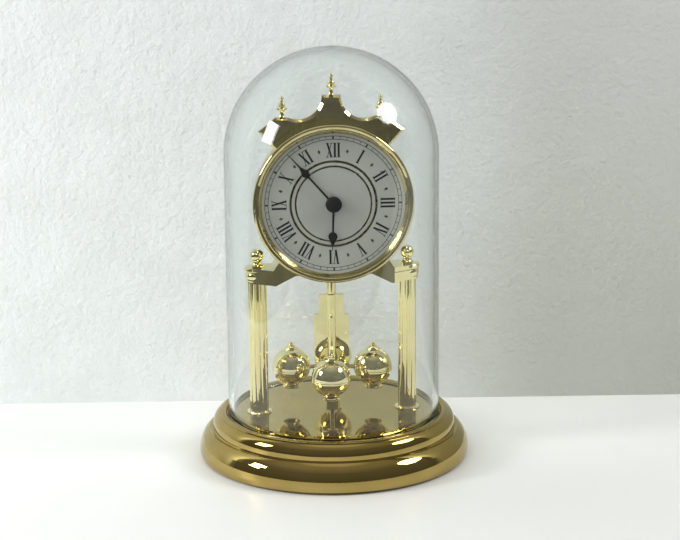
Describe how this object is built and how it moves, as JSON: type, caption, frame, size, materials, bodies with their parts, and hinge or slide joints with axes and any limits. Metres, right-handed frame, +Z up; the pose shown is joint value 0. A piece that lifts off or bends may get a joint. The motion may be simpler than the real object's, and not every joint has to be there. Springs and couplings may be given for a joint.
{
  "type": "anniversary clock",
  "caption": "Battery anniversary clock: dial on a frame of fluted columns, turning ball pendulum, brass base and a lift-off glass dome.",
  "frame": {"origin": "centre of the felt foot on the table", "axes": "+Z up along the base's axis, dial faces -Y, columns at -X (left) and +X (right)"},
  "size_m": [0.15, 0.15, 0.2279],
  "materials": {
    "base_brass": "polished",
    "platform_gold": "satin",
    "gold_plate": "polished",
    "pendulum_gold": "polished",
    "plain_steel": "satin",
    "zinc_nuts": "satin",
    "green_felt": "matte",
    "base_cover": "matte",
    "silvered_dial": "satin",
    "black_hands": "satin",
    "black_plastic": "matte",
    "white_plastic": "satin",
    "wheel_plastic": "satin",
    "battery_wrap": "gloss",
    "contact_spring": "satin",
    "circuit_green": "satin",
    "coil_copper": "gloss",
    "magnet_grey": "satin",
    "dome_glass": "clear"
  },
  "bodies": {
    "frame": {"base_shell": "base_brass", "base_platform": "platform_gold", "base_underplate": "base_cover", "felt_foot": "green_felt", "guide_cup": "gold_plate", "column_left": "gold_plate", "column_right": "gold_plate", "column_foot_left": "gold_plate", "column_foot_right": "gold_plate", "tie_rod_left": "plain_steel", "tie_rod_right": "plain_steel", "ball_nut_left": "gold_plate", "ball_nut_right": "gold_plate", "rod_washers": "zinc_nuts", "rod_nuts": "zinc_nuts", "cross_beam": "gold_plate", "case_screws": "zinc_nuts", "dial_case": "gold_plate", "bezel": "gold_plate", "dial_plate": "silvered_dial", "crest": "gold_plate", "finial_left": "gold_plate", "finial_centre": "gold_plate", "finial_right": "gold_plate", "movement_front": "black_plastic", "movement_back": "black_plastic", "movement_screws": "zinc_nuts", "battery_contact_minus": "contact_spring", "battery_contact_plus": "contact_spring", "gear_bridge": "white_plastic", "circuit_board": "circuit_green", "quartz_crystal": "contact_spring", "motor_core": "plain_steel", "motor_coil": "coil_copper", "drive_housing": "black_plastic", "drive_cover": "black_plastic", "spindle_bush": "white_plastic", "guard_tube": "gold_plate", "drive_coil": "coil_copper"},
    "battery": {"battery": "battery_wrap"},
    "minute": {"centre_arbor": "plain_steel", "minute_hand": "black_hands", "hand_cap": "black_hands"},
    "hour": {"hour_wheel": "wheel_plastic", "hour_hand": "black_hands"},
    "minute_wheel": {"minute_wheel": "wheel_plastic"},
    "set_knob": {"set_wheel": "wheel_plastic", "set_knob": "white_plastic"},
    "pendulum": {"drive_spindle": "plain_steel", "drive_magnet": "magnet_grey", "pendulum_plate": "pendulum_gold", "pendulum_spider": "pendulum_gold", "ball_front": "pendulum_gold", "ball_rear": "pendulum_gold", "ball_left": "pendulum_gold", "ball_right": "pendulum_gold"},
    "dome": {"glass_dome": "dome_glass"}
  },
  "joints": [
    {"name": "dome_lift", "type": "slide", "parent": "frame", "child": "dome", "axis": [0, 0, 1], "range_m": [0, 0.215]},
    {"name": "battery_pull", "type": "slide", "parent": "frame", "child": "battery", "axis": [0, 1, 0], "range_m": [0, 0.03]},
    {"name": "minute_turn", "type": "hinge", "parent": "frame", "child": "minute", "pos_m": [0, 0, 0.1444], "axis": [0, 1, 0], "continuous": true},
    {"name": "hour_turn", "type": "hinge", "parent": "frame", "child": "hour", "pos_m": [0, 0, 0.1444], "axis": [0, 1, 0], "continuous": true},
    {"name": "minute_wheel_turn", "type": "hinge", "parent": "frame", "child": "minute_wheel", "pos_m": [0.01, 0, 0.1444], "axis": [0, 1, 0], "continuous": true},
    {"name": "set_knob_turn", "type": "hinge", "parent": "frame", "child": "set_knob", "pos_m": [0.02, 0, 0.1444], "axis": [0, 1, 0], "continuous": true},
    {"name": "pendulum_swing", "type": "hinge", "parent": "frame", "child": "pendulum", "pos_m": [0, 0.0095, 0.05], "axis": [0, 0, 1], "range_deg": [-180, 180]}
  ],
  "couplings": [
    {"joint": "hour_turn", "follows": "minute_turn", "ratio": 0.083333},
    {"joint": "minute_wheel_turn", "follows": "minute_turn", "ratio": -0.33333},
    {"joint": "set_knob_turn", "follows": "minute_turn", "ratio": 1}
  ]
}
